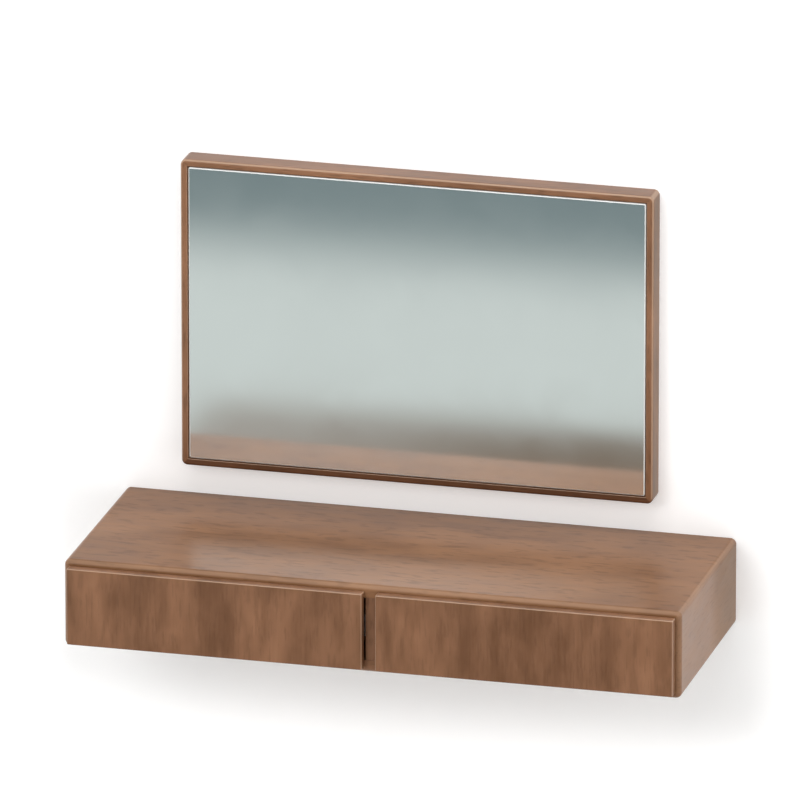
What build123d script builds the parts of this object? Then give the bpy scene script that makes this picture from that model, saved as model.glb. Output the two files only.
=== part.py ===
"""Wall-mounted vanity: a two-drawer cabinet and a framed mirror, both hung on bevelled cleats.

Millimetres, +Z up. The wall is the plane Y = 0 and the object stands out from it along -Y.
The origin is the middle of the row of wall screws that carries the cabinet.
"""

import os
from math import cos, radians, sin

from build123d import *

os.makedirs("parts", exist_ok=True)

# Cabinet shell
cabinet_width = 1000.0
cabinet_depth = 366.0
cabinet_height = 144.0
shell_thickness = 20.0
corner_radius = 9.5
front_edge_radius = 9.0
divider_thickness = 18.0
divider_setback = 1.0

# Cabinet back panel, let into a groove
back_thickness = 6.0
back_setback = 20.0
back_groove_depth = 5.0
groove_play = 0.2

# Bevelled cleats: one on the wall and one on what it carries, hooked together
cleat_thickness = 18.0
cleat_height = 46.0
cleat_screw_rise = 16.0
cleat_play = 0.3
cabinet_cleat_end_gap = 30.0
wall_screw_rise = 58.0
wall_screw_count = 4
wall_screw_inset = 45.0
wall_screw_radius = 2.75
wall_screw_sink_radius = 5.5
wall_screw_sink_sides = 8
cabinet_cleat_screw_count = 4
cabinet_cleat_screw_inset = 70.0

# Drawer fronts
front_thickness = 16.0
front_gap = 2.0
front_reveal = 9.0
centre_gap = 22.0
front_corner_radius = 2.0
front_arris_radius = 1.8

# Drawer boxes
box_wall = 12.0
box_height = 78.0
box_floor_clearance = 18.0
box_edge_chamfer = 1.0
bottom_thickness = 5.0
bottom_lift = 8.0
bottom_groove_depth = 5.0
front_screw_inset_x = 60.0
front_screw_inset_z = 20.0

# Ball-bearing runners, in the plane of their section: u from the cabinet wall, v up from the middle
runner_length = 300.0
runner_setback = 3.0
runner_width = 12.7
runner_height = 35.0
sheet = 1.0
outer_ball_radius = 1.75
inner_ball_radius = 1.5
ball_clearance = 0.1
middle_web_gap = 1.0
race_turn = 40.0
race_lip = 25.0
lip_angle = 22.0
cage_sheet = 0.4
cage_gap = 0.3
cage_length = 140.0
cage_margin = 0.6
balls_per_row = 3
ball_end_inset = 16.0
ball_sides = 6
ball_cap_height = 0.8
ball_taper = 24.0
runner_screw_inset = 30.0

# Countersunk wood screws, drawn with few sides
screw_sides = 6
shank_radius = 1.6
head_radius = 3.2
sink_angle = 45.0
runner_screw_length = 8.0
board_screw_length = 22.0
pilot_play = 0.05

# Push latches
latch_width = 22.0
latch_height = 13.0
latch_length = 70.0
latch_setback = 2.0
latch_ear_width = 10.0
latch_ear_length = 20.0
latch_ear_thickness = 3.0
latch_edge_chamfer = 1.5
latch_screw_length = 12.0
plunger_size = 7.0
plunger_play = 0.3
plunger_length = 56.0
plunger_tip_size = 10.0
plunger_tip_length = 3.0
plunger_tip_chamfer = 1.0
bore_depth = 62.0
strike_size = 14.0
strike_thickness = 1.5
strike_play = 0.1
seat_gap = 0.3

# Buffers between the shell and the fronts
buffer_radius = 4.0
buffer_sides = 8
buffer_inset = 30.0

# Mirror
mirror_width = 770.0
mirror_height = 510.0
mirror_depth = 40.0
mirror_rise = 202.5
mirror_offset = -12.0
frame_face = 11.0
frame_corner_radius = 9.5
frame_front_radius = 4.0
frame_arris_radius = 1.0
glass_gap = 2.0
glass_inset = 0.5
glass_thickness = 4.0
glass_corner_radius = 2.5
glass_bevel = 1.5
mirror_board_thickness = 12.0
mirror_board_groove = 4.0
mirror_cleat_end_gap = 94.0
mirror_cleat_top_gap = 50.0
mirror_screw_count = 2
mirror_screw_inset = 40.0
mirror_cleat_screw_count = 3
mirror_cleat_screw_inset = 40.0

# Heights and depths worked out from the sizes above
cabinet_base = -wall_screw_rise
cabinet_top = cabinet_base + cabinet_height
cabinet_mid = cabinet_base + cabinet_height / 2
half_width = cabinet_width / 2
shell_front = -cabinet_depth
bay_floor = cabinet_base + shell_thickness
bay_ceiling = cabinet_top - shell_thickness
bay_height = bay_ceiling - bay_floor
bay_outer = half_width - shell_thickness
bay_inner = divider_thickness / 2
bay_width = bay_outer - bay_inner
bay_centre = (bay_outer + bay_inner) / 2
back_panel_front = -(back_setback + back_thickness)
cabinet_cleat_width = 2 * (bay_outer - cabinet_cleat_end_gap)
front_back_face = shell_front - front_gap
front_outer = half_width - front_reveal
front_inner = centre_gap / 2
front_width = front_outer - front_inner
front_centre = (front_outer + front_inner) / 2
front_height = cabinet_height - 2 * front_reveal
box_width = bay_width - 2 * runner_width
box_depth = front_gap + runner_setback + runner_length
box_base = bay_floor + box_floor_clearance
box_mid = box_base + box_height / 2
box_back_face = front_back_face + box_depth
bottom_groove_base = box_base + bottom_lift
runner_front = shell_front + runner_setback
runner_mid = runner_front + runner_length / 2
latch_front = shell_front + latch_setback
latch_mid_height = bay_floor + latch_height / 2
frame_front = -mirror_depth
mirror_base = cabinet_base + mirror_rise
mirror_top = mirror_base + mirror_height
mirror_mid = mirror_base + mirror_height / 2
window_width = mirror_width - 2 * frame_face
window_height = mirror_height - 2 * frame_face
glass_front = frame_front + glass_inset
mirror_board_front = glass_front + glass_thickness
mirror_board_back = mirror_board_front + mirror_board_thickness
mirror_cleat_width = window_width - 2 * mirror_cleat_end_gap
mirror_cleat_top = mirror_top - frame_face - mirror_cleat_top_gap
mirror_screw_height = mirror_cleat_top - 2 * cleat_height + cleat_thickness + cleat_screw_rise

# Runner section: centre lines of the bent sheets and centres of the two ball rows
outer_race = outer_ball_radius + ball_clearance + sheet / 2
inner_race = inner_ball_radius + ball_clearance + sheet / 2
outer_row_v = (runner_height - sheet) / 2 - outer_race
middle_web_u = sheet + middle_web_gap + sheet / 2
inner_row_u = middle_web_u + inner_race
outer_row_u = inner_row_u + (outer_race + inner_race) * cos(radians(race_turn))
inner_row_v = outer_row_v - (outer_race + inner_race) * sin(radians(race_turn))
drawer_web_u = runner_width - sheet / 2
drawer_flange_v = inner_row_v - inner_race


def finish(solid, name):
    """Label one finished piece and write its STEP file."""
    solid.label = name
    export_step(solid, f"parts/{name}.step")


def spread(count, width, inset):
    """Places of equally spaced items about zero, the outermost inset from the ends of a width."""
    pitch = (width - 2 * inset) / (count - 1)
    return [(index - (count - 1) / 2) * pitch for index in range(count)]


def facing(x, y, z, out):
    """A plane at a point whose normal is the direction out."""
    return Plane(origin=(x, y, z), z_dir=out)


def screw_solid(length, play=0.0):
    """A countersunk wood screw with its head at the local XY plane, or with play its pilot hole."""
    with BuildPart() as screw:
        with BuildSketch(Plane.XY.offset(-length - play)):
            RegularPolygon(shank_radius + play, screw_sides, major_radius=False)
        extrude(amount=length + play)
        with BuildSketch(Plane.XY.offset(play)):
            RegularPolygon(head_radius + play, screw_sides, major_radius=False)
        extrude(amount=shank_radius - head_radius, taper=sink_angle)
    return screw.part


def screw_group(places, screw, name):
    """One node of like screws, each in its own place."""
    with BuildPart() as screws:
        with Locations(*places):
            add(screw)
    finish(screws.part, name)


def drill(places, pilot):
    """Pilot holes for screws, in the board being built."""
    with Locations(*places):
        add(pilot, mode=Mode.SUBTRACT)


board_screw = screw_solid(board_screw_length)
board_pilot = screw_solid(board_screw_length, pilot_play)
runner_screw = screw_solid(runner_screw_length)
runner_pilot = screw_solid(runner_screw_length, pilot_play)
latch_screw = screw_solid(latch_screw_length)
latch_pilot = screw_solid(latch_screw_length, pilot_play)

with BuildPart() as wall_screw_sink:
    with BuildSketch():
        RegularPolygon(wall_screw_sink_radius, wall_screw_sink_sides, major_radius=False)
    extrude(amount=wall_screw_radius - wall_screw_sink_radius, taper=sink_angle)


def ring_corners(centre_x, centre_z, width, height, thickness):
    """Mitre corners of the four boards of a rectangular ring, by the name of the board."""
    boards = {}
    turns = [(-1, -1), (1, -1), (1, 1), (-1, 1)]
    for index, board_name in enumerate(("bottom", "right", "top", "left")):
        outer = []
        inner = []
        for side_x, side_z in (turns[index], turns[(index + 1) % 4]):
            reach_x = width / 2 - thickness
            reach_z = height / 2 - thickness
            outer.append((centre_x + side_x * width / 2, centre_z + side_z * height / 2))
            inner.append((centre_x + side_x * reach_x, centre_z + side_z * reach_z))
        boards[board_name] = outer + inner[::-1]
    return boards


def mitred_board(ring, corners, depth):
    """The board of a ring that lies between two mitres."""
    with BuildPart() as board:
        add(ring)
        with BuildSketch(Plane.XZ):
            with BuildLine():
                Polyline(*corners, close=True)
            make_face()
        extrude(amount=depth, mode=Mode.INTERSECT)
    return board.part


def wall_x(drawer_side, wall_side):
    """X of a bay's wall: drawer_side picks the bay, wall_side its left or right wall."""
    return drawer_side * bay_centre + wall_side * bay_width / 2


def runner_screw_places(drawer_side, wall_side, on_drawer):
    """Head planes of the screws of one runner's cabinet member or drawer member."""
    inward = -wall_side
    reach = runner_width - sheet if on_drawer else sheet
    out = (-inward, 0, 0) if on_drawer else (inward, 0, 0)
    x = wall_x(drawer_side, wall_side) + inward * reach
    first = runner_front + runner_screw_inset
    last = runner_front + runner_length - runner_screw_inset
    return [facing(x, y, box_mid, out) for y in (first, last)]


def latch_screw_places(drawer_side):
    """Head planes of one latch's two screws, on top of its ears."""
    reach = (latch_width + latch_ear_width) / 2
    y = latch_front + latch_length / 2
    z = bay_floor + latch_ear_thickness
    return [facing(drawer_side * bay_centre + step, y, z, (0, 0, 1)) for step in (-reach, reach)]


def front_screw_places(drawer_side):
    """Head planes of the screws that hold a drawer front, inside the drawer."""
    reach_x = box_width / 2 - front_screw_inset_x
    reach_z = box_height / 2 - front_screw_inset_z
    y = front_back_face + box_wall
    return [
        facing(drawer_side * bay_centre + x, y, box_mid + z, (0, 1, 0))
        for x in (-reach_x, reach_x)
        for z in (-reach_z, reach_z)
    ]


def cleat_screw_places(centre_x, steps, y, z):
    """Head planes of the screws through a cleat, facing the wall."""
    return [facing(centre_x + step, y, z, (0, 1, 0)) for step in steps]


# Outer shell: one rounded ring, then the four mitred boards that it is made of
with BuildPart() as shell:
    with BuildSketch(Plane.XZ):
        with Locations((0, cabinet_mid)):
            RectangleRounded(cabinet_width, cabinet_height, corner_radius)
    extrude(amount=cabinet_depth)
    fillet(shell.faces().sort_by(Axis.Y)[0].outer_wire().edges(), front_edge_radius)
    with BuildSketch(Plane.XZ):
        with Locations((0, cabinet_mid)):
            Rectangle(2 * bay_outer, bay_height)
    extrude(amount=cabinet_depth, mode=Mode.SUBTRACT)
    with BuildSketch(Plane.XZ.offset(back_setback)):
        with Locations((0, cabinet_mid)):
            Rectangle(2 * (bay_outer + back_groove_depth), bay_height + 2 * back_groove_depth)
    extrude(amount=back_thickness + groove_play, mode=Mode.SUBTRACT)

shell_boards = ring_corners(0, cabinet_mid, cabinet_width, cabinet_height, shell_thickness)

finish(mitred_board(shell.part, shell_boards["top"], cabinet_depth), "cabinet_top")

with BuildPart() as bottom_board:
    add(mitred_board(shell.part, shell_boards["bottom"], cabinet_depth))
    for drawer_side in (-1, 1):
        drill(latch_screw_places(drawer_side), latch_pilot)
finish(bottom_board.part, "cabinet_bottom")

for side, side_name in ((-1, "left"), (1, "right")):
    with BuildPart() as side_board:
        add(mitred_board(shell.part, shell_boards[side_name], cabinet_depth))
        drill(runner_screw_places(side, side, False), runner_pilot)
    finish(side_board.part, f"cabinet_side_{side_name}")

with BuildPart() as divider:
    with BuildSketch(Plane.XZ.offset(-back_panel_front)):
        with Locations((0, cabinet_mid)):
            Rectangle(divider_thickness, bay_height)
    extrude(amount=cabinet_depth + back_panel_front - divider_setback)
    for drawer_side in (-1, 1):
        drill(runner_screw_places(drawer_side, -drawer_side, False), runner_pilot)
finish(divider.part, "cabinet_divider")

# Cabinet back panel and cleats
cleat_tip = cleat_height - cleat_screw_rise


def carried_cleat(centre_x, width, screw_height, top, face, screw_places):
    """The upper cleat, on the face that it is screwed to; its bevel hooks over the wall cleat."""
    back = face + cleat_thickness
    tip = screw_height + cleat_tip + cleat_play
    low_front = tip - cleat_thickness - face
    low_back = tip - cleat_thickness - back
    with BuildPart() as cleat:
        with BuildSketch(Plane.YZ.offset(centre_x)):
            with BuildLine():
                Polyline((face, top), (back, top), (back, low_back), (face, low_front), close=True)
            make_face()
        extrude(amount=width / 2, both=True)
        drill(screw_places, board_pilot)
    return cleat.part


def wall_cleat(centre_x, width, screw_height, steps):
    """The lower cleat, screwed to the wall; its bevel rises away from the wall."""
    tip = screw_height + cleat_tip
    base = screw_height - cleat_screw_rise
    places = [facing(centre_x + step, -cleat_thickness, screw_height, (0, -1, 0)) for step in steps]
    with BuildPart() as cleat:
        with BuildSketch(Plane.YZ.offset(centre_x)):
            with BuildLine():
                Polyline(
                    (0, base),
                    (0, tip - cleat_thickness),
                    (-cleat_thickness, tip),
                    (-cleat_thickness, base),
                    close=True,
                )
            make_face()
        extrude(amount=width / 2, both=True)
        with Locations(*places):
            Hole(wall_screw_radius, depth=cleat_thickness)
            add(wall_screw_sink.part, mode=Mode.SUBTRACT)
    return cleat.part


cabinet_cleat_screws = cleat_screw_places(
    0,
    spread(cabinet_cleat_screw_count, cabinet_cleat_width, cabinet_cleat_screw_inset),
    cleat_thickness - back_setback,
    (bay_ceiling + cleat_tip) / 2,
)

with BuildPart() as back_panel:
    with BuildSketch(Plane.XZ.offset(back_setback)):
        with Locations((0, cabinet_mid)):
            Rectangle(
                2 * (bay_outer + back_groove_depth - groove_play),
                bay_height + 2 * (back_groove_depth - groove_play),
            )
    extrude(amount=back_thickness)
    drill(cabinet_cleat_screws, board_pilot)
finish(back_panel.part, "cabinet_back_panel")

finish(
    carried_cleat(0, cabinet_cleat_width, 0, bay_ceiling, -back_setback, cabinet_cleat_screws),
    "cabinet_cleat",
)
wall_screw_steps = spread(wall_screw_count, cabinet_cleat_width, wall_screw_inset)
finish(wall_cleat(0, cabinet_cleat_width, 0, wall_screw_steps), "cabinet_wall_cleat")
screw_group(cabinet_cleat_screws, board_screw, "cabinet_cleat_screws")

with BuildPart() as buffers:
    with BuildSketch(Plane.XZ.offset(cabinet_depth)):
        buffer_reach_x = front_width / 2 - buffer_inset
        buffer_reach_z = (cabinet_height - shell_thickness - front_edge_radius) / 2
        for centre in (-front_centre, front_centre):
            with Locations((centre, cabinet_mid)):
                with GridLocations(2 * buffer_reach_x, 2 * buffer_reach_z, 2, 2):
                    RegularPolygon(buffer_radius, buffer_sides)
    extrude(amount=front_gap - seat_gap)
finish(buffers.part, "front_buffers")


# Drawer runners
def runner_plane(drawer_side, wall_side):
    """The plane of a runner's section: u away from the bay's wall, v up, at the runner's middle."""
    inward = -wall_side
    origin = (wall_x(drawer_side, wall_side), runner_mid, box_mid)
    return Plane(origin=origin, x_dir=(inward, 0, 0), z_dir=(0, -inward, 0))


def cabinet_member(drawer_side, wall_side):
    """The outer C of a runner, screwed to the cabinet; its lips wrap the outer balls."""
    flange_v = outer_row_v + outer_race
    web_u = sheet / 2
    with BuildPart() as member:
        with BuildSketch(runner_plane(drawer_side, wall_side)):
            with BuildLine():
                Polyline((web_u, 0), (web_u, flange_v), (outer_row_u, flange_v))
                CenterArc((outer_row_u, outer_row_v), outer_race, lip_angle, 90 - lip_angle)
            trace(line_width=sheet)
            mirror(about=Plane.XZ)
        extrude(amount=runner_length / 2, both=True)
        drill(runner_screw_places(drawer_side, wall_side, False), runner_pilot)
    return member.part


def middle_member(drawer_side, wall_side):
    """The middle of a runner: an S on each edge, over the inner balls and under the outer ones."""
    half_turn = 180 - race_turn
    lip_turn = 90 - race_turn + race_lip
    with BuildPart() as member:
        with BuildSketch(runner_plane(drawer_side, wall_side)):
            with BuildLine():
                Line((middle_web_u, 0), (middle_web_u, inner_row_v))
                CenterArc((inner_row_u, inner_row_v), inner_race, race_turn, half_turn)
                CenterArc((outer_row_u, outer_row_v), outer_race, 180 + race_turn, lip_turn)
            trace(line_width=sheet)
            mirror(about=Plane.XZ)
        extrude(amount=runner_length / 2, both=True)
    return member.part


def drawer_member(drawer_side, wall_side):
    """The inner C of a runner, screwed to the drawer; its flanges carry the inner balls."""
    with BuildPart() as member:
        with BuildSketch(runner_plane(drawer_side, wall_side)):
            with BuildLine():
                Polyline((drawer_web_u, 0), (drawer_web_u, drawer_flange_v), (inner_row_u, drawer_flange_v))
            trace(line_width=sheet)
            mirror(about=Plane.XZ)
        extrude(amount=runner_length / 2, both=True)
        drill(runner_screw_places(drawer_side, wall_side, True), runner_pilot)
    return member.part


def ball_solid(radius):
    """A ball of a runner, drawn with few flat faces."""
    with BuildPart() as ball:
        with BuildSketch():
            RegularPolygon(radius, ball_sides)
        extrude(amount=ball_cap_height * radius, taper=ball_taper)
        mirror(about=Plane.XY)
    return ball.part


outer_ball = ball_solid(outer_ball_radius)
inner_ball = ball_solid(inner_ball_radius)


def ball_places(row_u, row_v):
    """Centres of the balls of both rows of a cage, on the runner's section plane."""
    steps = spread(balls_per_row, cage_length, ball_end_inset)
    return [(row_u, v, along) for v in (-row_v, row_v) for along in steps]


def outer_cage(drawer_side, wall_side):
    """The folded strip between cabinet member and middle member, with its balls."""
    plane = runner_plane(drawer_side, wall_side)
    web_u = sheet + cage_gap + cage_sheet / 2
    flange_v = outer_row_v + (cage_gap + cage_sheet) / 2
    flange_end = outer_row_u + outer_ball_radius + cage_margin
    pocket = 2 * (outer_ball_radius + ball_clearance)
    with BuildPart() as cage:
        with BuildSketch(plane):
            with BuildLine():
                Polyline((web_u, 0), (web_u, flange_v), (flange_end, flange_v))
            trace(line_width=cage_sheet)
            mirror(about=Plane.XZ)
        extrude(amount=cage_length / 2, both=True)
        with Locations(plane):
            with Locations(*ball_places(outer_row_u, outer_row_v)):
                Box(pocket, pocket, pocket, mode=Mode.SUBTRACT)
                add(outer_ball)
    return cage.part


def inner_cage(drawer_side, wall_side):
    """The flat strip between middle member and drawer member, notched for its balls."""
    plane = runner_plane(drawer_side, wall_side)
    strip_u = middle_web_u + sheet / 2 + cage_gap + cage_sheet / 2
    pocket = 2 * (inner_ball_radius + ball_clearance)
    with BuildPart() as cage:
        with BuildSketch(plane):
            with Locations((strip_u, 0)):
                Rectangle(cage_sheet, 2 * (inner_row_v + cage_margin))
        extrude(amount=cage_length / 2, both=True)
        with Locations(plane):
            with Locations(*ball_places(inner_row_u, inner_row_v)):
                Box(pocket, pocket, pocket, mode=Mode.SUBTRACT)
                add(inner_ball)
    return cage.part


cabinet_runner_screws = []
for drawer_side, drawer_name in ((-1, "left_drawer"), (1, "right_drawer")):
    for wall_side, wall_name in ((-1, "left"), (1, "right")):
        finish(cabinet_member(drawer_side, wall_side), f"{drawer_name}_runner_{wall_name}_cabinet_member")
        finish(middle_member(drawer_side, wall_side), f"{drawer_name}_runner_{wall_name}_middle_member")
        finish(drawer_member(drawer_side, wall_side), f"{drawer_name}_runner_{wall_name}_drawer_member")
        cabinet_runner_screws += runner_screw_places(drawer_side, wall_side, False)
    for make_cage, cage_name in ((outer_cage, "outer_ball_cages"), (inner_cage, "inner_ball_cages")):
        with BuildPart() as cages:
            for wall_side in (-1, 1):
                add(make_cage(drawer_side, wall_side))
        finish(cages.part, f"{drawer_name}_{cage_name}")
    drawer_runner_screws = [
        place for wall_side in (-1, 1) for place in runner_screw_places(drawer_side, wall_side, True)
    ]
    screw_group(drawer_runner_screws, runner_screw, f"{drawer_name}_runner_screws")
screw_group(cabinet_runner_screws, runner_screw, "cabinet_runner_screws")


# Drawers
def box_board(x, y_front, length_x, length_y):
    """One upright board of a drawer box with its upper edges eased."""
    with BuildPart() as board:
        with BuildSketch(Plane.XY.offset(box_base)):
            with Locations((x, y_front + length_y / 2)):
                Rectangle(length_x, length_y)
        extrude(amount=box_height)
        run = Axis.X if length_x > length_y else Axis.Y
        chamfer(board.faces().sort_by(Axis.Z)[-1].edges().filter_by(run), box_edge_chamfer)
    return board.part


def bottom_solid(drawer_side, play):
    """The drawer bottom, or with no play the groove it lies in."""
    inner_width = box_width - 2 * box_wall
    inner_depth = box_depth - 2 * box_wall
    reach = 2 * (bottom_groove_depth - play)
    with BuildPart() as bottom:
        with BuildSketch(Plane.XY.offset(bottom_groove_base)):
            with Locations((drawer_side * bay_centre, front_back_face + box_depth / 2)):
                Rectangle(inner_width + reach, inner_depth + reach)
        extrude(amount=bottom_thickness)
    return bottom.part


for drawer_side, drawer_name in ((-1, "left_drawer"), (1, "right_drawer")):
    groove = bottom_solid(drawer_side, 0)
    box_centre = drawer_side * bay_centre
    screws = front_screw_places(drawer_side)

    with BuildPart() as front:
        with BuildSketch(Plane.XZ.offset(-front_back_face)):
            with Locations((drawer_side * front_centre, cabinet_mid)):
                RectangleRounded(front_width, front_height, front_corner_radius)
        extrude(amount=front_thickness)
        fillet(front.faces().sort_by(Axis.Y)[0].outer_wire().edges(), front_arris_radius)
        drill(screws, board_pilot)
        with BuildSketch(Plane.XZ.offset(-front_back_face)):
            with Locations((box_centre, latch_mid_height)):
                Rectangle(strike_size + 2 * strike_play, strike_size + 2 * strike_play)
        extrude(amount=strike_thickness, mode=Mode.SUBTRACT)
    finish(front.part, f"{drawer_name}_front")

    with BuildPart() as strike:
        with BuildSketch(Plane.XZ.offset(-front_back_face)):
            with Locations((box_centre, latch_mid_height)):
                Rectangle(strike_size, strike_size)
        extrude(amount=strike_thickness)
    finish(strike.part, f"{drawer_name}_strike_plate")

    for wall_side, wall_name in ((-1, "left"), (1, "right")):
        with BuildPart() as box_side:
            side_x = box_centre + wall_side * (box_width - box_wall) / 2
            add(box_board(side_x, front_back_face, box_wall, box_depth))
            add(groove, mode=Mode.SUBTRACT)
            drill(runner_screw_places(drawer_side, wall_side, True), runner_pilot)
        finish(box_side.part, f"{drawer_name}_box_side_{wall_name}")

    cross_width = box_width - 2 * box_wall
    with BuildPart() as box_front:
        add(box_board(box_centre, front_back_face, cross_width, box_wall))
        add(groove, mode=Mode.SUBTRACT)
        drill(screws, board_pilot)
    finish(box_front.part, f"{drawer_name}_box_front")

    with BuildPart() as box_back:
        add(box_board(box_centre, box_back_face - box_wall, cross_width, box_wall))
        add(groove, mode=Mode.SUBTRACT)
    finish(box_back.part, f"{drawer_name}_box_back")

    finish(bottom_solid(drawer_side, groove_play), f"{drawer_name}_box_bottom")
    screw_group(screws, board_screw, f"{drawer_name}_front_screws")

# Push latches, on the floor of each bay behind the lower edge of the front
latch_screws = []
for drawer_side, latch_name in ((-1, "left_latch"), (1, "right_latch")):
    latch_x = drawer_side * bay_centre
    with BuildPart() as housing:
        with BuildSketch(Plane.XZ.offset(-latch_front - latch_length)):
            with Locations((latch_x, latch_mid_height)):
                Rectangle(latch_width, latch_height)
        extrude(amount=latch_length)
        chamfer(housing.edges().filter_by(Axis.Y).group_by(Axis.Z)[-1], latch_edge_chamfer)
        with BuildSketch(Plane.XY.offset(bay_floor)):
            with Locations((latch_x, latch_front + latch_length / 2)):
                Rectangle(latch_width + 2 * latch_ear_width, latch_ear_length)
        extrude(amount=latch_ear_thickness)
        drill(latch_screw_places(drawer_side), latch_pilot)
        with BuildSketch(Plane.XZ.offset(-latch_front)):
            with Locations((latch_x, latch_mid_height)):
                Rectangle(plunger_size + 2 * plunger_play, plunger_size + 2 * plunger_play)
        extrude(amount=-bore_depth, mode=Mode.SUBTRACT)
    finish(housing.part, f"{latch_name}_housing")

    tip_face = front_back_face + seat_gap
    with BuildPart() as plunger:
        with BuildSketch(Plane.XZ.offset(-tip_face - plunger_tip_length)):
            with Locations((latch_x, latch_mid_height)):
                Rectangle(plunger_tip_size, plunger_tip_size)
        extrude(amount=plunger_tip_length)
        chamfer(plunger.faces().sort_by(Axis.Y)[0].edges(), plunger_tip_chamfer)
        with BuildSketch(Plane.XZ.offset(-tip_face - plunger_tip_length)):
            with Locations((latch_x, latch_mid_height)):
                Rectangle(plunger_size, plunger_size)
        extrude(amount=-plunger_length)
    finish(plunger.part, f"{latch_name}_plunger")
    latch_screws += latch_screw_places(drawer_side)
screw_group(latch_screws, latch_screw, "latch_screws")

# Mirror: a deep mitred frame round a board that carries the glass
with BuildPart() as frame_ring:
    with BuildSketch(Plane.XZ):
        with Locations((mirror_offset, mirror_mid)):
            RectangleRounded(mirror_width, mirror_height, frame_corner_radius)
            Rectangle(window_width, window_height, mode=Mode.SUBTRACT)
    extrude(amount=mirror_depth)
    fillet(frame_ring.faces().sort_by(Axis.Y)[0].outer_wire().edges(), frame_front_radius)
    fillet(frame_ring.faces().sort_by(Axis.Y)[0].inner_wires()[0].edges(), frame_arris_radius)
    with BuildSketch(Plane.XZ.offset(-mirror_board_back)):
        with Locations((mirror_offset, mirror_mid)):
            Rectangle(window_width + 2 * mirror_board_groove, window_height + 2 * mirror_board_groove)
    extrude(amount=mirror_board_thickness, mode=Mode.SUBTRACT)

frame_boards = ring_corners(mirror_offset, mirror_mid, mirror_width, mirror_height, frame_face)
for board_name, corners in frame_boards.items():
    finish(mitred_board(frame_ring.part, corners, mirror_depth), f"mirror_frame_{board_name}")

mirror_cleat_screws = cleat_screw_places(
    mirror_offset,
    spread(mirror_cleat_screw_count, mirror_cleat_width, mirror_cleat_screw_inset),
    mirror_board_back + cleat_thickness,
    mirror_cleat_top - cleat_screw_rise,
)

with BuildPart() as mirror_board:
    with BuildSketch(Plane.XZ.offset(-mirror_board_back)):
        with Locations((mirror_offset, mirror_mid)):
            Rectangle(
                window_width + 2 * (mirror_board_groove - groove_play),
                window_height + 2 * (mirror_board_groove - groove_play),
            )
    extrude(amount=mirror_board_thickness)
    drill(mirror_cleat_screws, board_pilot)
finish(mirror_board.part, "mirror_back_board")

glass_width = window_width - 2 * glass_gap
glass_height = window_height - 2 * glass_gap
with BuildPart() as glass:
    with BuildSketch(Plane.XZ.offset(-mirror_board_front)):
        with Locations((mirror_offset, mirror_mid)):
            RectangleRounded(glass_width, glass_height, glass_corner_radius)
    extrude(amount=glass_thickness)
    chamfer(glass.faces().sort_by(Axis.Y)[0].outer_wire().edges(), glass_bevel)
finish(glass.part, "mirror_glass")

finish(
    carried_cleat(
        mirror_offset,
        mirror_cleat_width,
        mirror_screw_height,
        mirror_cleat_top,
        mirror_board_back,
        mirror_cleat_screws,
    ),
    "mirror_cleat",
)
mirror_screw_steps = spread(mirror_screw_count, mirror_cleat_width, mirror_screw_inset)
finish(
    wall_cleat(mirror_offset, mirror_cleat_width, mirror_screw_height, mirror_screw_steps),
    "mirror_wall_cleat",
)
screw_group(mirror_cleat_screws, board_screw, "mirror_cleat_screws")
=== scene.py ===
"""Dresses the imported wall-mounted vanity: camera, studio, finishes and the fine pieces of its hardware."""

import logging
import math
from collections.abc import Iterable
from dataclasses import dataclass
from enum import Enum

import bmesh
import bpy
from mathutils import Matrix, Vector


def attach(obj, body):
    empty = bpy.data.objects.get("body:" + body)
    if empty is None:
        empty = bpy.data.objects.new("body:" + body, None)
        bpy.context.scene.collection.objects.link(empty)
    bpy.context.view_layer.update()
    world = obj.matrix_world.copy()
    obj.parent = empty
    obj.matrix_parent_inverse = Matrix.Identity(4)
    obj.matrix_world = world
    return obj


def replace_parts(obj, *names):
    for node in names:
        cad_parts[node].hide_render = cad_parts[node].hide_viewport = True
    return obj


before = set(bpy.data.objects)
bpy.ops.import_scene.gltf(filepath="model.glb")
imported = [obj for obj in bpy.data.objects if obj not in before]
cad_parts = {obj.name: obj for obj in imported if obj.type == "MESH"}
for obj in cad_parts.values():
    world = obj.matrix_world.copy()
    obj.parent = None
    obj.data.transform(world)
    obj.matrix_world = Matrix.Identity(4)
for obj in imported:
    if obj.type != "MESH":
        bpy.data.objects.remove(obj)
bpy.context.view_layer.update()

log = logging.getLogger("vanity")

Colour = tuple[float, float, float]
Span = tuple[float, float]

MERGE_DISTANCE = 1e-6
SHARP_ANGLE = math.radians(32)


class Grain(Enum):
    """The way that the fibres of a board run."""

    ALONG_X = 0
    ALONG_Y = 1
    ALONG_Z = 2


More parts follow.
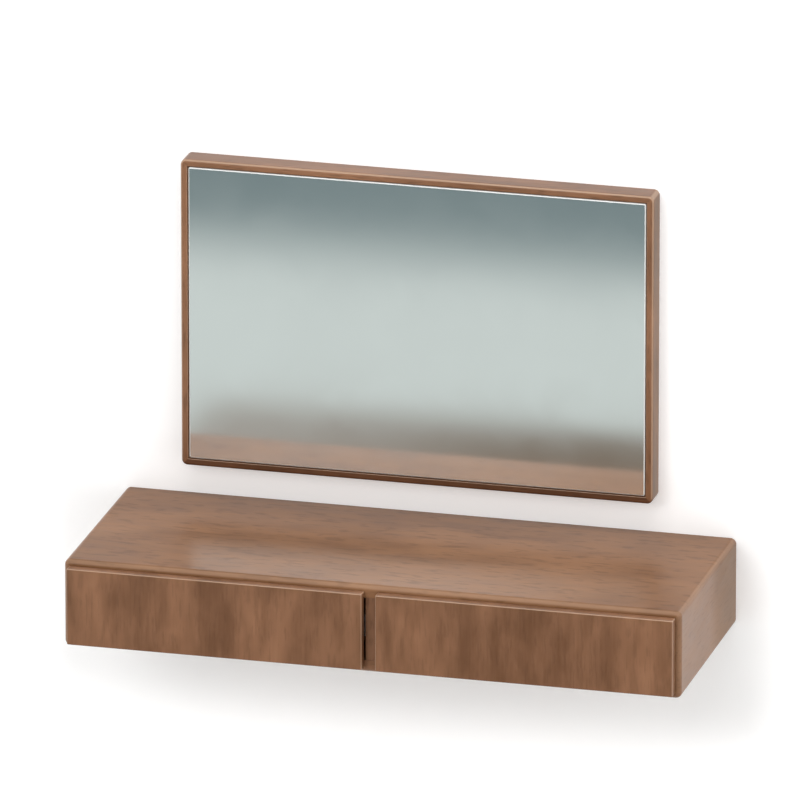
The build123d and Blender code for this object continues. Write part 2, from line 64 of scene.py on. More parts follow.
class Term:
    """A value socket of a node, with the arithmetic that adds Math nodes."""

    def __init__(self, graph: "Graph", socket: bpy.types.NodeSocket) -> None:
        """Keeps a socket.

        Args:
            graph: The graph that the socket is in.
            socket: The output socket of one of its nodes.
        """
        self.graph = graph
        self.socket = socket

    def _math(self, operation: str, first: object, second: object) -> "Term":
        """Adds one Math node.

        Args:
            operation: The node's operation.
            first: A term or a number.
            second: A term or a number.

        Returns:
            The node's result.
        """
        return self.graph.node("ShaderNodeMath", {"operation": operation}, {0: first, 1: second})

    def __add__(self, other: object) -> "Term":
        """The sum."""
        return self._math("ADD", self, other)

    __radd__ = __add__

    def __sub__(self, other: object) -> "Term":
        """The difference."""
        return self._math("SUBTRACT", self, other)

    def __rsub__(self, other: object) -> "Term":
        """The difference, from a number."""
        return self._math("SUBTRACT", other, self)

    def __mul__(self, other: object) -> "Term":
        """The product."""
        return self._math("MULTIPLY", self, other)

    __rmul__ = __mul__

    def step(self, low: float, high: float) -> "Term":
        """Runs smoothly from 0 at low to 1 at high.

        Args:
            low: The value where the step starts.
            high: The value where it ends.

        Returns:
            The smooth step.
        """
        return self.graph.node(
            "ShaderNodeMapRange",
            {"interpolation_type": "SMOOTHSTEP"},
            {"Value": self, "From Min": low, "From Max": high},
        )

    def between(self, rise: Span, fall: Span) -> "Term":
        """Runs smoothly from 0 to 1 and back to 0.

        Args:
            rise: The values where it starts and ends rising.
            fall: The values where it starts and ends falling.

        Returns:
            The smooth band.
        """
        return self.step(*rise) * (1.0 - self.step(*fall))


class Graph:
    """The node graph of one material."""

    def __init__(self, tree: bpy.types.NodeTree) -> None:
        """Empties a node tree.

        Args:
            tree: The tree of a material or of the world.
        """
        self.tree = tree
        tree.nodes.clear()

    def node(
        self, kind: str, settings: dict[str, object], inputs: dict[object, object], output: object = 0
    ) -> Term:
        """Adds a node.

        Args:
            kind: The node's type.
            settings: Its settings, set before its sockets.
            inputs: Values, or terms to link, by socket name or number.
            output: The name or number of the output that is wanted.

        Returns:
            That output as a term.
        """
        node = self.tree.nodes.new(kind)
        for name, value in settings.items():
            setattr(node, name, value)
        for name, value in inputs.items():
            if isinstance(value, Term):
                self.tree.links.new(value.socket, node.inputs[name])
            else:
                node.inputs[name].default_value = value
        return Term(self, node.outputs[output])

    def mix(self, factor: object, first: object, second: object) -> Term:
        """Mixes two colours.

        Args:
            factor: 0 for the first, 1 for the second.
            first: A colour or a term.
            second: A colour or a term.

        Returns:
            The mixed colour.
        """
        colours = [value if isinstance(value, Term) else (*value, 1.0) for value in (first, second)]
        return self.node(
            "ShaderNodeMix", {"data_type": "RGBA"}, {0: factor, 6: colours[0], 7: colours[1]}, 2
        )

    def place(self) -> Term:
        """The place on the piece, in metres."""
        return self.node("ShaderNodeTexCoord", {}, {}, "Object")

    def stretched(self, scale: Colour) -> Term:
        """The place, scaled by an amount along each axis.

        Args:
            scale: The amount for X, Y and Z.

        Returns:
            The scaled place.
        """
        return self.node("ShaderNodeVectorMath", {"operation": "MULTIPLY"}, {0: self.place(), 1: scale})

    def noise(self, scale: Colour, detail: float = 2.0, warp: float = 0.0) -> Term:
        """Smooth noise about 0.5.

        Args:
            scale: Waves in a metre along X, Y and Z.
            detail: How many finer layers it has.
            warp: How far it is pulled about.

        Returns:
            The noise.
        """
        return self.node(
            "ShaderNodeTexNoise",
            {},
            {"Vector": self.stretched(scale), "Scale": 1.0, "Detail": detail, "Distortion": warp},
        )

    def bump(self, height: Term, depth: float) -> Term:
        """A normal that follows a height.

        Args:
            height: The height, from 0 to 1.
            depth: What a height of 1 is, in metres.

        Returns:
            The normal.
        """
        return self.node("ShaderNodeBump", {}, {"Height": height, "Strength": 1.0, "Distance": depth})

    def background_rays(self) -> Term:
        """The rays that see the plain background: the camera's, mirrored ones and ones through glass.

        Returns:
            1 or more on such a ray, 0 on any other.
        """
        kinds = ("Is Camera Ray", "Is Glossy Ray", "Is Transmission Ray")
        rays = [self.node("ShaderNodeLightPath", {}, {}, kind) for kind in kinds]
        return rays[0] + rays[1] + rays[2]

    def surface(self, shader: Term) -> None:
        """Sends a shader to the material's output."""
        output = self.tree.nodes.new("ShaderNodeOutputMaterial")
        self.tree.links.new(shader.socket, output.inputs["Surface"])

    def surroundings(self, shader: Term) -> None:
        """Sends a shader to the world's output."""
        output = self.tree.nodes.new("ShaderNodeOutputWorld")
        self.tree.links.new(shader.socket, output.inputs["Surface"])


def new_graph(name: str) -> tuple[bpy.types.Material, Graph]:
    """Makes an empty material.

    Args:
        name: Its name.

    Returns:
        The material and its graph.
    """
    material = bpy.data.materials.new(name)
    material.use_nodes = True
    return material, Graph(material.node_tree)


def grey(level: float) -> tuple[float, float, float, float]:
    """A neutral colour for a colour socket."""
    return (level, level, level, 1.0)


def along(grain: Grain, long: float, across: float) -> Colour:
    """A scale that differs along the fibres.

    Args:
        grain: The way that the fibres run.
        long: Waves in a metre along them.
        across: Waves in a metre across them.

    Returns:
        The scale for X, Y and Z.
    """
    scale = [across, across, across]
    scale[grain.value] = long
    return tuple(scale)


@dataclass(frozen=True)
class Veneer:
    """Satin lacquered walnut veneer."""

    name: str
    grain: Grain
    pale: Colour = (0.3, 0.141, 0.07)
    deep: Colour = (0.128, 0.053, 0.021)
    mottle: float = 0.75
    roughness: float = 0.36
    fleck: float = 0.35
    specular: float = 0.4
    # Painted highlight: the pale colour, and its share, laid on the rounded edges that don't face down.
    painted_highlight: Colour = (0.47, 0.31, 0.21)
    painted_highlight_share: float = 0.68
    coat: float = 0.1
    band_scale: Span = (5.0, 12.0)
    cloud_scale: Span = (12.0, 38.0)
    fibre_scale: Span = (16.0, 330.0)
    fleck_scale: Span = (34.0, 280.0)
    fleck_depth: float = 0.55
    relief: float = 0.00006
    coat_roughness: float = 0.18

    def painted_highlight_edges(self, graph: Graph) -> Term:
        """Where a painted highlight lightens the wood: the rounded edges that don't face down.

        Args:
            graph: The veneer's graph.

        Returns:
            1 on such an edge, 0 on a flat face.
        """
        facing = graph.node("ShaderNodeNewGeometry", {}, {}, "Normal")
        parts = [graph.node("ShaderNodeSeparateXYZ", {}, {0: facing}, axis) for axis in "XYZ"]
        fourths = [part * part * part * part for part in parts]
        flatness = fourths[0] + fourths[1] + fourths[2]
        return (1.0 - flatness).step(0.08, 0.42) * parts[2].step(-0.25, 0.05)

    def material(self) -> bpy.types.Material:
        """Makes the veneer's material.

        Returns:
            The material.
        """
        material, graph = new_graph(self.name)
        bands = graph.noise(along(self.grain, *self.band_scale), 2.0, 0.2).step(0.36, 0.66)
        clouds = graph.noise(along(self.grain, *self.cloud_scale), 3.0, 0.2).step(0.3, 0.7)
        fibres = graph.noise(along(self.grain, *self.fibre_scale), 3.0, 0.1)
        flecks = graph.noise(along(self.grain, *self.fleck_scale), 2.0).step(0.53, 0.68)
        tone = bands * 0.5 + clouds * 0.38 + fibres * 0.26
        colour = graph.mix((1.1 - tone) * self.mottle, self.pale, self.deep)
        darker = tuple(self.fleck_depth * part for part in self.deep)
        colour = graph.mix(flecks * self.fleck, colour, darker)
        # Painted highlight: the rounded edges that don't face down are lightened to a pale colour.
        colour = graph.mix(self.painted_highlight_edges(graph) * self.painted_highlight_share, colour, self.painted_highlight)
        normal = graph.bump(fibres - flecks * 0.5, self.relief)
        rough = fibres * 0.12 + clouds * 0.05 + (self.roughness - 0.08)
        graph.surface(
            graph.node(
                "ShaderNodeBsdfPrincipled",
                {},
                {
                    "Base Color": colour,
                    "Roughness": rough,
                    "Normal": normal,
                    "Specular IOR Level": self.specular,
                    "Coat Weight": self.coat,
                    "Coat Roughness": self.coat_roughness,
                },
            )
        )
        return material


@dataclass(frozen=True)
class Board:
    """Raw or lacquered solid board, with its fibres along one axis."""

    name: str
    grain: Grain
    pale: Colour
    deep: Colour
    roughness: float = 0.5
    rings: float = 38.0
    relief: float = 0.00008

    def material(self) -> bpy.types.Material:
        """Makes the board's material.

        Returns:
            The material.
        """
        material, graph = new_graph(self.name)
        rings = graph.noise(along(self.grain, 1.6, self.rings), 2.0, 0.4).step(0.35, 0.65)
        fibres = graph.noise(along(self.grain, 18.0, 520.0), 3.0)
        colour = graph.mix(rings * 0.45 + fibres * 0.5, self.pale, self.deep)
        graph.surface(
            graph.node(
                "ShaderNodeBsdfPrincipled",
                {},
                {
                    "Base Color": colour,
                    "Roughness": fibres * 0.15 + (self.roughness - 0.07),
                    "Normal": graph.bump(fibres, self.relief),
                },
            )
        )
        return material


@dataclass(frozen=True)
class Plywood:
    """Raw birch plywood, whose plies show on its ends and bevels."""

    name: str
    ply: float = 0.0018
    pale: Colour = (0.64, 0.47, 0.29)
    deep: Colour = (0.38, 0.24, 0.13)
    relief: float = 0.0001

    def material(self) -> bpy.types.Material:
        """Makes the plywood's material.

        Returns:
            The material.
        """
        material, graph = new_graph(self.name)
        plies = graph.node(
            "ShaderNodeTexWave",
            {"wave_type": "BANDS", "bands_direction": "Y", "wave_profile": "SIN"},
            {"Vector": graph.stretched((1.0, math.pi / 10.0 / self.ply, 1.0)), "Scale": 1.0},
            1,
        ).step(0.35, 0.65)
        fibres = graph.noise((14.0, 60.0, 480.0), 3.0)
        face = graph.noise((2.0, 3.0, 30.0), 2.0, 0.5).step(0.3, 0.7)
        colour = graph.mix(plies * 0.55 + fibres * 0.25 + face * 0.15, self.pale, self.deep)
        graph.surface(
            graph.node(
                "ShaderNodeBsdfPrincipled",
                {},
                {
                    "Base Color": colour,
                    "Roughness": fibres * 0.2 + 0.55,
                    "Normal": graph.bump(fibres * 0.6 + plies * 0.4, self.relief),
                },
            )
        )
        return material


@dataclass(frozen=True)
class Plain:
    """A moulded, sprayed, plated or rubbed surface with a fine texture."""

    name: str
    colour: Colour
    shade: Colour
    roughness: float
    metal: float = 0.0
    scale: Colour = (700.0, 700.0, 700.0)
    depth: float = 0.00003

    def material(self) -> bpy.types.Material:
        """Makes the material.

        Returns:
            The material.
        """
        material, graph = new_graph(self.name)
        fine = graph.noise(self.scale, 2.0)
        wide = graph.noise((14.0, 14.0, 14.0), 2.0)
        graph.surface(
            graph.node(
                "ShaderNodeBsdfPrincipled",
                {},
                {
                    "Base Color": graph.mix(fine * 0.6 + wide * 0.4, self.colour, self.shade),
                    "Metallic": self.metal,
                    "Roughness": fine * 0.12 + (self.roughness - 0.06),
                    "Normal": graph.bump(fine, self.depth),
                },
            )
        )
        return material


@dataclass(frozen=True)
class Silvering:
    """Silvered float glass: a clear mirror, faintly green and very slightly hazy."""

    name: str = "silvered_glass"
    colour: Colour = (0.93, 0.955, 0.945)
    shade: Colour = (0.86, 0.9, 0.885)
    roughness: float = 0.07

    def material(self) -> bpy.types.Material:
        """Makes the mirror's material.

        Returns:
            The material.
        """
        material, graph = new_graph(self.name)
        haze = graph.noise((9.0, 9.0, 9.0), 3.0, 0.5).step(0.3, 0.7)
        smear = graph.noise((3.0, 3.0, 5.0), 3.0, 0.8)
        graph.surface(
            graph.node(
                "ShaderNodeBsdfPrincipled",
                {},
                {
                    "Base Color": graph.mix(smear * 0.25, self.colour, self.shade),
                    "Metallic": 1.0,
                    "Roughness": haze * 0.02 + self.roughness,
                },
            )
        )
        return material


@dataclass(frozen=True)
class Finishes:
    """Every finish of the object, made once."""

    materials: dict[str, bpy.types.Material]

    @classmethod
    def make(cls) -> "Finishes":
        """Makes all the materials.

        Returns:
            The finishes.
        """
        x, y, z = Grain.ALONG_X, Grain.ALONG_Y, Grain.ALONG_Z
        kinds = (
            Veneer(
                "walnut_top",
                x,
                pale=(0.285, 0.14, 0.068),
                mottle=0.66,
                fleck=0.3,
                specular=0.11,
                painted_highlight_share=0.3,
                coat=0.05,
                band_scale=(3.0, 9.0),
                fleck_scale=(30.0, 120.0),
            ),
            Veneer("walnut_bottom", x, painted_highlight_share=0.3),
            Veneer(
                "walnut_side",
                y,
                pale=(0.28, 0.145, 0.077),
                mottle=0.36,
                fleck=0.2,
                specular=0.16,
                painted_highlight_share=0.12,
            ),
            Veneer("walnut_divider", z),
            Veneer("walnut_front", z, mottle=0.92, fleck=0.18),
            Veneer("walnut_rail", x),
            # Painted shade: the mirror's bottom rail is a darker copy of the rail walnut.
            Veneer("walnut_low_rail", x, pale=(0.13, 0.05, 0.02), deep=(0.065, 0.024, 0.008)),
            Veneer("walnut_stile", z),
            Board("back_board", x, (0.21, 0.11, 0.06), (0.13, 0.062, 0.032)),
            Board("drawer_board_y", y, (0.66, 0.49, 0.31), (0.47, 0.31, 0.17), 0.42),
            Board("drawer_board_x", x, (0.66, 0.49, 0.31), (0.47, 0.31, 0.17), 0.42),
            Board("drawer_bottom", x, (0.55, 0.41, 0.26), (0.42, 0.29, 0.17), 0.5, 60.0),
            Plywood("cleat_ply"),
            Silvering(),
            Plain(
                "polished_edge",
                (0.95, 0.97, 0.96),
                (0.9, 0.93, 0.92),
                0.16,
                scale=(30.0, 30.0, 30.0),
                depth=0.00001,
            ),
            Plain("zinc_plate", (0.62, 0.63, 0.64), (0.46, 0.47, 0.49), 0.32, 1.0, (90.0, 9.0, 90.0)),
            Plain("bright_steel", (0.72, 0.72, 0.73), (0.6, 0.6, 0.61), 0.22, 1.0),
            Plain("screw_plate", (0.66, 0.62, 0.5), (0.5, 0.45, 0.34), 0.3, 1.0),
            Plain("latch_moulding", (0.02, 0.02, 0.022), (0.035, 0.035, 0.038), 0.48),
            Plain("plunger_moulding", (0.12, 0.12, 0.125), (0.16, 0.16, 0.165), 0.4),
            Plain("buffer_rubber", (0.012, 0.011, 0.01), (0.02, 0.019, 0.018), 0.62),
        )
        return cls({kind.name: kind.material() for kind in kinds})

    def dress(self, node: str, finish: str) -> None:
        """Gives a CAD piece its finish.

        Args:
            node: The piece's name.
            finish: The finish's name.
        """
        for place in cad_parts[node].material_slots:
            place.material = self.materials[finish]
        log.info("%s in %s", node, finish)


def islands(node: str) -> list[list[Vector]]:
    """Reads the separate solids of a CAD piece.

    Args:
        node: The piece's name.

    Returns:
        The corners of each of its solids.
    """
    mesh = bmesh.new()
    mesh.from_mesh(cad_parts[node].data)
    bmesh.ops.remove_doubles(mesh, verts=mesh.verts, dist=MERGE_DISTANCE)
    left = set(mesh.verts)
    groups = []
    while left:
        front = [left.pop()]
        group = []
        while front:
            vertex = front.pop()
            group.append(vertex.co.copy())
            for edge in vertex.link_edges:
                other = edge.other_vert(vertex)
                if other in left:
                    left.remove(other)
                    front.append(other)
        groups.append(group)
    mesh.free()
    return groups


def box_of(points: Iterable[Vector]) -> tuple[Vector, Vector]:
    """The lowest and highest corner of some points.

    Args:
        points: The points.

    Returns:
        The two corners.
    """
    columns = list(zip(*points))
    return Vector(map(min, columns)), Vector(map(max, columns))


def piece_from(
    mesh: bmesh.types.BMesh, name: str, body: str, finish: bpy.types.Material
) -> bpy.types.Object:
    """Makes a smooth object from a mesh and sets it riding.

    Args:
        mesh: The mesh, freed here.
        name: The piece's name.
        body: The CAD body that it moves with.
        finish: Its material.

    Returns:
        The new object.
    """
    data = bpy.data.meshes.new(name)
    mesh.to_mesh(data)
    mesh.free()
    data.materials.append(finish)
    for polygon in data.polygons:
        polygon.use_smooth = True
    data.set_sharp_from_angle(angle=SHARP_ANGLE)
    made = bpy.data.objects.new(name, data)
    bpy.context.scene.collection.objects.link(made)
    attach(made, body)
    log.info("%s rides on %s", name, body)
    return made


@dataclass
class WoodScrew:
    """A countersunk wood screw with a rolled thread and a cross recess."""

    head_radius: float = 0.0032
    core_radius: float = 0.00105
    thread: float = 0.00042
    pitch: float = 0.0011
    recess_reach: float = 0.0019
    recess_width: float = 0.00042
    recess_depth: float = 0.0011
    head_rings: tuple[float, ...] = (0.12, 0.3, 0.45, 0.59, 0.62, 0.85, 0.97)
    rim: float = 0.00015
    cone_depth: float = 0.0019
    smooth_depth: float = 0.002
    thread_depth: float = 0.0022
    point_length: float = 0.0022
    tip_length: float = 0.001
    tip_taper: Span = (0.6, 0.08)
    fade_length: float = 0.003
    flank: float = 5.0
    rows_per_turn: int = 4
    segments: int = 20
    end_slack: float = 1e-5

    def recess(self, radius: float, angle: float) -> float:
        """How deep the cross recess is at a place on the head.

        Args:
            radius: The place's distance from the screw's axis.
            angle: Its angle about it.

        Returns:
            The depth.
        """
        side = min(abs(math.cos(angle)), abs(math.sin(angle))) * radius
        inside = side <= self.recess_width and radius <= self.recess_reach
        return self.recess_depth * (1.0 - 0.5 * radius / self.recess_reach) if inside else 0.0

    def add_to(self, mesh: bmesh.types.BMesh, head: Vector, tip: Vector) -> None:
        """Adds one screw to a mesh.

        Args:
            mesh: The mesh.
            head: The middle of the head's face.
            tip: The end of the point.
        """
        length = (tip - head).length
        turn = (tip - head).to_track_quat("Z", "Y").to_matrix()
        rows = [(self.head_radius * part, 0.0) for part in self.head_rings]
        rows += [(self.head_radius, self.rim), (self.core_radius + self.thread, self.cone_depth)]
        depth = self.thread_depth
        while depth < length - self.point_length:
            rows.append((self.core_radius, depth))
            depth += self.pitch / self.rows_per_turn
        neck, point = (self.core_radius * part for part in self.tip_taper)
        rows += [(neck, length - self.tip_length), (point, length)]
        rings = []
        for radius, level in rows:
            ring = []
            for step in range(self.segments):
                angle = math.tau * step / self.segments
                reach, drop = radius, level
                if level == 0.0:
                    drop += self.recess(radius, angle)
                elif level > self.smooth_depth:
                    phase = (level / self.pitch + step / self.segments) % 1.0
                    fade = min(1.0, (length - level) / self.fade_length)
                    reach += self.thread * max(0.0, 1.0 - abs(phase - 0.5) * self.flank) * fade
                place = Vector((reach * math.cos(angle), reach * math.sin(angle), drop))
                ring.append(mesh.verts.new(head + turn @ place))
            rings.append(ring)
        mesh.faces.new(rings[0][::-1])
        mesh.faces.new(rings[-1])
        for inner, outer in zip(rings, rings[1:]):
            for step in range(self.segments):
                after = (step + 1) % self.segments
                mesh.faces.new((inner[step], inner[after], outer[after], outer[step]))

    def replace(self, node: str, body: str, finish: bpy.types.Material) -> None:
        """Puts detailed screws in the place of a CAD piece's plain ones.

        Args:
            node: The CAD piece.
            body: The body that it moves with.
            finish: The screws' material.
        """
        mesh = bmesh.new()
        for corners in islands(node):
            low, high = box_of(corners)
            size = high - low
            axis = max(range(3), key=lambda index: size[index])
            across = [index for index in range(3) if index != axis]
            middle = (low + high) / 2
            ends = []
            for level in (low[axis], high[axis]):
                rim = [corner for corner in corners if abs(corner[axis] - level) < self.end_slack]
                spread = max(abs(corner[index] - middle[index]) for corner in rim for index in across)
                place = middle.copy()
                place[axis] = level
                ends.append((spread, place))
            ends.sort(key=lambda end: end[0])
            self.add_to(mesh, ends[1][1], ends[0][1])
        bmesh.ops.recalc_face_normals(mesh, faces=mesh.faces)
        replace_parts(piece_from(mesh, f"{node}_threaded", body, finish), node)


@dataclass
class BallCage:
    """The pressed cages of a drawer's runners, with round balls."""

    ball_limit: float = 0.006
    slack: float = MERGE_DISTANCE
    around: int = 20
    rows: int = 12

    def holds(self, ball: tuple[Vector, Vector], place: Vector) -> bool:
        """Whether a ball's box holds a place.

        Args:
            ball: The lowest and highest corner of the ball's box.
            place: The place.

        Returns:
            True if it does.
        """
        low, high = ball
        return all(low[axis] - self.slack <= place[axis] <= high[axis] + self.slack for axis in range(3))

    def replace(self, node: str, body: str, finish: bpy.types.Material) -> None:
        """Puts round balls in the cages of a CAD piece.

        Args:
            node: The CAD piece.
            body: The body that it moves with.
            finish: The material of the cages and balls.
        """
        mesh = bmesh.new()
        mesh.from_mesh(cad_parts[node].data)
        bmesh.ops.remove_doubles(mesh, verts=mesh.verts, dist=MERGE_DISTANCE)
        boxes = [box_of(corners) for corners in islands(node)]
        balls = [(low, high) for low, high in boxes if max(high - low) < self.ball_limit]
        doomed = [vertex for vertex in mesh.verts if any(self.holds(ball, vertex.co) for ball in balls)]
        bmesh.ops.delete(mesh, geom=doomed, context="VERTS")
        for low, high in balls:
            place = Matrix.Translation((low + high) / 2)
            radius = max(high - low) / 2
            bmesh.ops.create_uvsphere(
                mesh, u_segments=self.around, v_segments=self.rows, radius=radius, matrix=place
            )
        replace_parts(piece_from(mesh, f"{node}_with_round_balls", body, finish), node)


@dataclass
class Cabinet:
    """The walnut shell, its back, cleats, buffers and fixed hardware."""

    finishes: Finishes
    screw: WoodScrew

    def build(self) -> None:
        """Dresses the shell and puts in its screws."""
        dress = self.finishes.dress
        dress("cabinet_top", "walnut_top")
        dress("cabinet_bottom", "walnut_bottom")
        dress("cabinet_side_left", "walnut_side")
        dress("cabinet_side_right", "walnut_side")
        dress("cabinet_divider", "walnut_divider")
        dress("cabinet_back_panel", "back_board")
        dress("cabinet_cleat", "cleat_ply")
        dress("cabinet_wall_cleat", "cleat_ply")
        dress("front_buffers", "buffer_rubber")
        steel = self.finishes.materials["screw_plate"]
        for node in ("cabinet_cleat_screws", "cabinet_runner_screws", "latch_screws"):
            self.screw.replace(node, "root", steel)


@dataclass
class Drawer:
    """One drawer with its runners, latch and screws."""

    side: str
    finishes: Finishes
    screw: WoodScrew
    cage: BallCage

    def build(self) -> None:
        """Dresses the drawer and its hardware."""
        dress = self.finishes.dress
        drawer = f"{self.side}_drawer"
        dress(f"{drawer}_front", "walnut_front")
        dress(f"{drawer}_strike_plate", "bright_steel")
        dress(f"{drawer}_box_front", "drawer_board_x")
        dress(f"{drawer}_box_back", "drawer_board_x")
        dress(f"{drawer}_box_side_left", "drawer_board_y")
        dress(f"{drawer}_box_side_right", "drawer_board_y")
        dress(f"{drawer}_box_bottom", "drawer_bottom")
        dress(f"{self.side}_latch_housing", "latch_moulding")
        dress(f"{self.side}_latch_plunger", "plunger_moulding")
        for runner in ("left", "right"):
            for member in ("cabinet", "middle", "drawer"):
                dress(f"{drawer}_runner_{runner}_{member}_member", "zinc_plate")
        steel = self.finishes.materials["screw_plate"]
        for node in (f"{drawer}_front_screws", f"{drawer}_runner_screws"):
            self.screw.replace(node, drawer, steel)
        bright = self.finishes.materials["bright_steel"]
        self.cage.replace(f"{drawer}_outer_ball_cages", f"{self.side}_outer_cages", bright)
        self.cage.replace(f"{drawer}_inner_ball_cages", f"{self.side}_inner_cages", bright)


@dataclass
class WallMirror:
    """The framed mirror, its board and its cleats."""

    finishes: Finishes
    screw: WoodScrew
    face_slant: float = 0.98

    def replace_glass(self) -> None:
        """Gives the glass a polished edge around its silvered face."""
        mesh = bmesh.new()
        mesh.from_mesh(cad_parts["mirror_glass"].data)
        bmesh.ops.remove_doubles(mesh, verts=mesh.verts, dist=MERGE_DISTANCE)
        mesh.normal_update()
        for face in mesh.faces:
            face.material_index = int(abs(face.normal.y) < self.face_slant)
        silvered = self.finishes.materials["silvered_glass"]
        pane = piece_from(mesh, "mirror_pane", "root", silvered)
        pane.data.materials.append(self.finishes.materials["polished_edge"])
        for polygon in pane.data.polygons:
            polygon.use_smooth = False
        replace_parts(pane, "mirror_glass")

    def build(self) -> None:
        """Dresses the mirror."""
        dress = self.finishes.dress
        dress("mirror_frame_top", "walnut_rail")
        # Painted shade: the bottom rail takes the darker copy of the rail walnut.
        dress("mirror_frame_bottom", "walnut_low_rail")
        dress("mirror_frame_left", "walnut_stile")
        dress("mirror_frame_right", "walnut_stile")
        self.replace_glass()
        dress("mirror_back_board", "back_board")
        dress("mirror_cleat", "cleat_ply")
        dress("mirror_wall_cleat", "cleat_ply")
        self.screw.replace("mirror_cleat_screws", "root", self.finishes.materials["screw_plate"])


@dataclass
class PhotoCamera:
    """The photograph's long lens."""

    azimuth: float = 14.649
    elevation: float = 18.694
    lens: float = 795.4
    distance: float = 27.7766
    aim: Colour = (0.0, -0.18, 0.342)
    aim_right: float = -0.00172
    aim_up: float = -0.00869
    sensor: float = 36.0
    clip: Span = (1.0, 200.0)

    def build(self) -> None:
        """Makes the camera and sets it."""
        azimuth, elevation = math.radians(self.azimuth), math.radians(self.elevation)
        right = Vector((math.cos(azimuth), math.sin(azimuth), 0.0))
        level = math.cos(elevation)
        back = Vector((math.sin(azimuth) * level, -math.cos(azimuth) * level, math.sin(elevation)))
        target = Vector(self.aim) + right * self.aim_right + back.cross(right) * self.aim_up
        data = bpy.data.cameras.new("photo_camera")
        data.lens = self.lens
        data.sensor_width = self.sensor
        data.clip_start, data.clip_end = self.clip
        camera = bpy.data.objects.new("photo_camera", data)
        camera.rotation_mode = "QUATERNION"
        camera.location = target + back * self.distance
        camera.rotation_quaternion = (-back).to_track_quat("-Z", "Y")
        bpy.context.scene.collection.objects.link(camera)
        bpy.context.scene.camera = camera


@dataclass
class Lamp:
    """One soft lamp, aimed at a point."""

    name: str
    place: Colour
    aim: Colour
    width: float
    height: float
    glow: float
    mirrored: bool = True

    def build(self) -> None:
        """Makes the lamp; its glow is the radiance of its face."""
        data = bpy.data.lights.new(self.name, "AREA")
        data.shape = "RECTANGLE"
        data.size = self.width
        data.size_y = self.height
        data.energy = self.glow * math.pi * self.width * self.height
        lamp = bpy.data.objects.new(self.name, data)
        lamp.visible_glossy = self.mirrored
        lamp.location = self.place
        lamp.rotation_mode = "QUATERNION"
        lamp.rotation_quaternion = (Vector(self.aim) - Vector(self.place)).to_track_quat("-Z", "Y")
        bpy.context.scene.collection.objects.link(lamp)


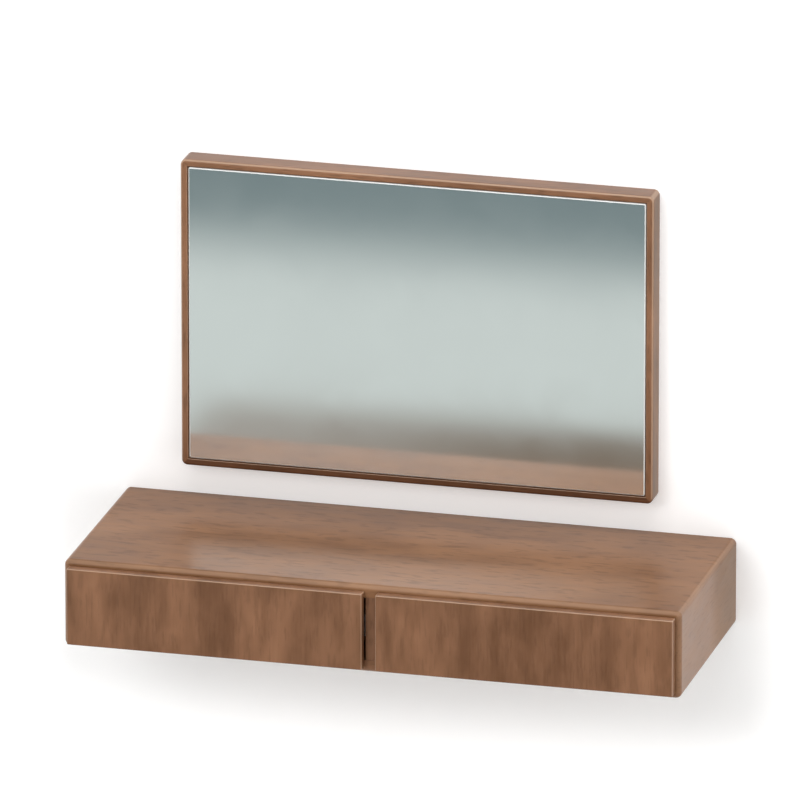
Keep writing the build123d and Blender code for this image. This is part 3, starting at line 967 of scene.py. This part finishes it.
@dataclass
class Studio:
    """A pale wall with a painted shadow around the object, a floor whose glowing bands are a painted room
    for the mirror to show, and the lamps.
    """

    floor_level: float = -0.5
    wall_place: float = 0.0006
    reach: float = 9.0
    sky: float = 0.69
    wall_glow: float = 0.5
    wall_painted_shadow: float = 0.29
    wall_paint: float = 0.82
    # Colours of the painted room that glows on the floor for glossy rays only.
    slate: Colour = (0.185, 0.235, 0.245)
    mist: Colour = (0.62, 0.665, 0.65)
    painted_band: Colour = (0.19, 0.145, 0.11)
    painted_band_pale: Colour = (0.36, 0.33, 0.3)
    floor_glow: float = 0.55
    floor_paint: float = 0.6
    bounce: Colour = (0.82, 0.82, 0.81)
    clear_reach: Span = (0.12, 0.2)
    # Where the painted shadow darkens the wall around the mirror and the cabinet.
    mirror_shadow_across: tuple[Span, Span] = ((-0.54, -0.41), (0.36, 0.47))
    mirror_shadow_up: tuple[Span, Span] = ((0.1, 0.17), (0.63, 0.74))
    mirror_shadow_part: float = 0.7
    cabinet_shadow_across: tuple[Span, Span] = ((-0.7, -0.58), (0.5, 0.63))
    cabinet_shadow_up: tuple[Span, Span] = ((-0.34, -0.2), (0.06, 0.2))
    slate_from: Span = (2.84, 3.3)
    painted_band_depth: tuple[Span, Span] = ((-2.25, -2.15), (-0.9, -0.5))
    painted_band_from: Span = (-0.98, -0.9)
    painted_band_dark_from: Span = (-0.9, -0.2)

    def sheet(self, name: str, corners: tuple[Colour, ...], finish: bpy.types.Material) -> None:
        """Adds one flat sheet of the studio.

        Args:
            name: Its name.
            corners: Its corners in order.
            finish: Its material.
        """
        data = bpy.data.meshes.new(name)
        data.from_pydata(corners, [], [tuple(range(len(corners)))])
        data.materials.append(finish)
        made = bpy.data.objects.new(name, data)
        bpy.context.scene.collection.objects.link(made)

    def lit(self, graph: Graph, glow: object, paint: float) -> Term:
        """A white that is seen as background, and that keeps the object's shadow.

        Args:
            graph: The graph.
            glow: The colour of its own light, as a colour or a term.
            paint: How much of it is painted white.

        Returns:
            The shader.
        """
        plain = graph.node("ShaderNodeBsdfDiffuse", {}, {"Color": (*self.bounce, 1.0)})
        paint_shader = graph.node("ShaderNodeBsdfDiffuse", {}, {"Color": grey(paint)})
        glow_shader = graph.node("ShaderNodeEmission", {}, {"Color": glow, "Strength": 1.0})
        seen = graph.node("ShaderNodeAddShader", {}, {0: paint_shader, 1: glow_shader})
        return graph.node("ShaderNodeMixShader", {}, {0: graph.background_rays(), 1: plain, 2: seen})

    def wall_finish(self) -> bpy.types.Material:
        """The wall's white, darkened by a painted shadow around the mirror and the cabinet, clear from
        behind and to light that goes to the object's back.

        Returns:
            The material.
        """
        material, graph = new_graph("studio_wall")
        behind = graph.node("ShaderNodeNewGeometry", {}, {}, "Backfacing")
        near = 1.0 - graph.node("ShaderNodeLightPath", {}, {}, "Ray Length").step(*self.clear_reach)
        clear = graph.node("ShaderNodeBsdfTransparent", {}, {})
        across = graph.node("ShaderNodeSeparateXYZ", {}, {0: graph.place()}, "X")
        height = graph.node("ShaderNodeSeparateXYZ", {}, {0: graph.place()}, "Z")
        # Painted shadow: the wall's own glow is darkened in soft boxes around the mirror and the cabinet.
        mirror = across.between(*self.mirror_shadow_across) * height.between(*self.mirror_shadow_up)
        cabinet = across.between(*self.cabinet_shadow_across) * height.between(*self.cabinet_shadow_up)
        around = 1.0 - (1.0 - mirror * self.mirror_shadow_part) * (1.0 - cabinet)
        shaded = self.wall_glow - self.wall_painted_shadow
        glow = graph.mix(around, grey(self.wall_glow)[:3], grey(shaded)[:3])
        shader = self.lit(graph, glow, self.wall_paint)
        open_part = behind + (1.0 - behind) * near
        graph.surface(graph.node("ShaderNodeMixShader", {}, {0: open_part, 1: shader, 2: clear}))
        return material

    def floor_finish(self) -> bpy.types.Material:
        """The floor's white, and a painted room that glows on it for glossy rays, for the mirror to show.

        Returns:
            The material.
        """
        material, graph = new_graph("studio_floor")
        across = graph.node("ShaderNodeSeparateXYZ", {}, {0: graph.place()}, "X")
        depth = graph.node("ShaderNodeSeparateXYZ", {}, {0: graph.place()}, "Y")
        # Painted room: bands that glow on the floor for glossy rays only, so the mirror shows a dark band
        # far off, a pale middle and a brown band nearer the wall.
        far = (depth * -1.0).step(*self.slate_from)
        near = depth.between(*self.painted_band_depth) * across.step(*self.painted_band_from)
        painted_band = graph.mix(across.step(*self.painted_band_dark_from), self.painted_band_pale, self.painted_band)
        painted_room = graph.mix(near, graph.mix(far, self.mist, self.slate), painted_band)
        glossy = graph.node("ShaderNodeLightPath", {}, {}, "Is Glossy Ray")
        shown = graph.node("ShaderNodeEmission", {}, {"Color": painted_room, "Strength": 1.0})
        shader = self.lit(graph, grey(self.floor_glow), self.floor_paint)
        graph.surface(graph.node("ShaderNodeMixShader", {}, {0: glossy, 1: shader, 2: shown}))
        return material

    def build(self) -> None:
        """Makes the wall, the floor, the sky and the lamps."""
        far, low, back = self.reach, self.floor_level, self.wall_place
        wall = ((-far, back, low), (far, back, low), (far, back, far), (-far, back, far))
        self.sheet("studio_wall", wall, self.wall_finish())
        floor = ((-far, -far, low), (far, -far, low), (far, far, low), (-far, far, low))
        self.sheet("studio_floor", floor, self.floor_finish())
        world = bpy.data.worlds.new("studio")
        bpy.context.scene.world = world
        world.use_nodes = True
        graph = Graph(world.node_tree)
        soft = graph.node("ShaderNodeBackground", {}, {"Color": grey(1.0), "Strength": self.sky})
        white = graph.node("ShaderNodeBackground", {}, {"Color": grey(1.0), "Strength": 1.0})
        rays = graph.background_rays()
        graph.surroundings(graph.node("ShaderNodeMixShader", {}, {0: rays, 1: soft, 2: white}))
        Lamp("top_softbox", (0.4, -1.3, 3.0), (0.0, -0.2, 0.1), 2.6, 0.45, 9.0).build()
        Lamp("sheen_softbox", (-1.1, -3.4, 1.36), (-0.1, -0.2, 0.1), 0.9, 0.6, 3.2).build()
        Lamp("front_softbox", (-0.9, -3.6, 1.9), (0.0, -0.1, 0.25), 1.6, 1.6, 3.6, False).build()
        Lamp("side_softbox", (3.2, -1.0, 1.2), (0.1, -0.1, 0.2), 1.2, 1.6, 3.0).build()


def main() -> None:
    """Builds the classes in order."""
    logging.basicConfig(level=logging.INFO, format="%(message)s")
    bpy.context.scene.view_settings.view_transform = "Standard"
    PhotoCamera().build()
    finishes = Finishes.make()
    screw, cage = WoodScrew(), BallCage()
    Cabinet(finishes, screw).build()
    for side in ("left", "right"):
        Drawer(side, finishes, screw, cage).build()
    WallMirror(finishes, screw).build()
    Studio().build()


if __name__ == "__main__":
    main()
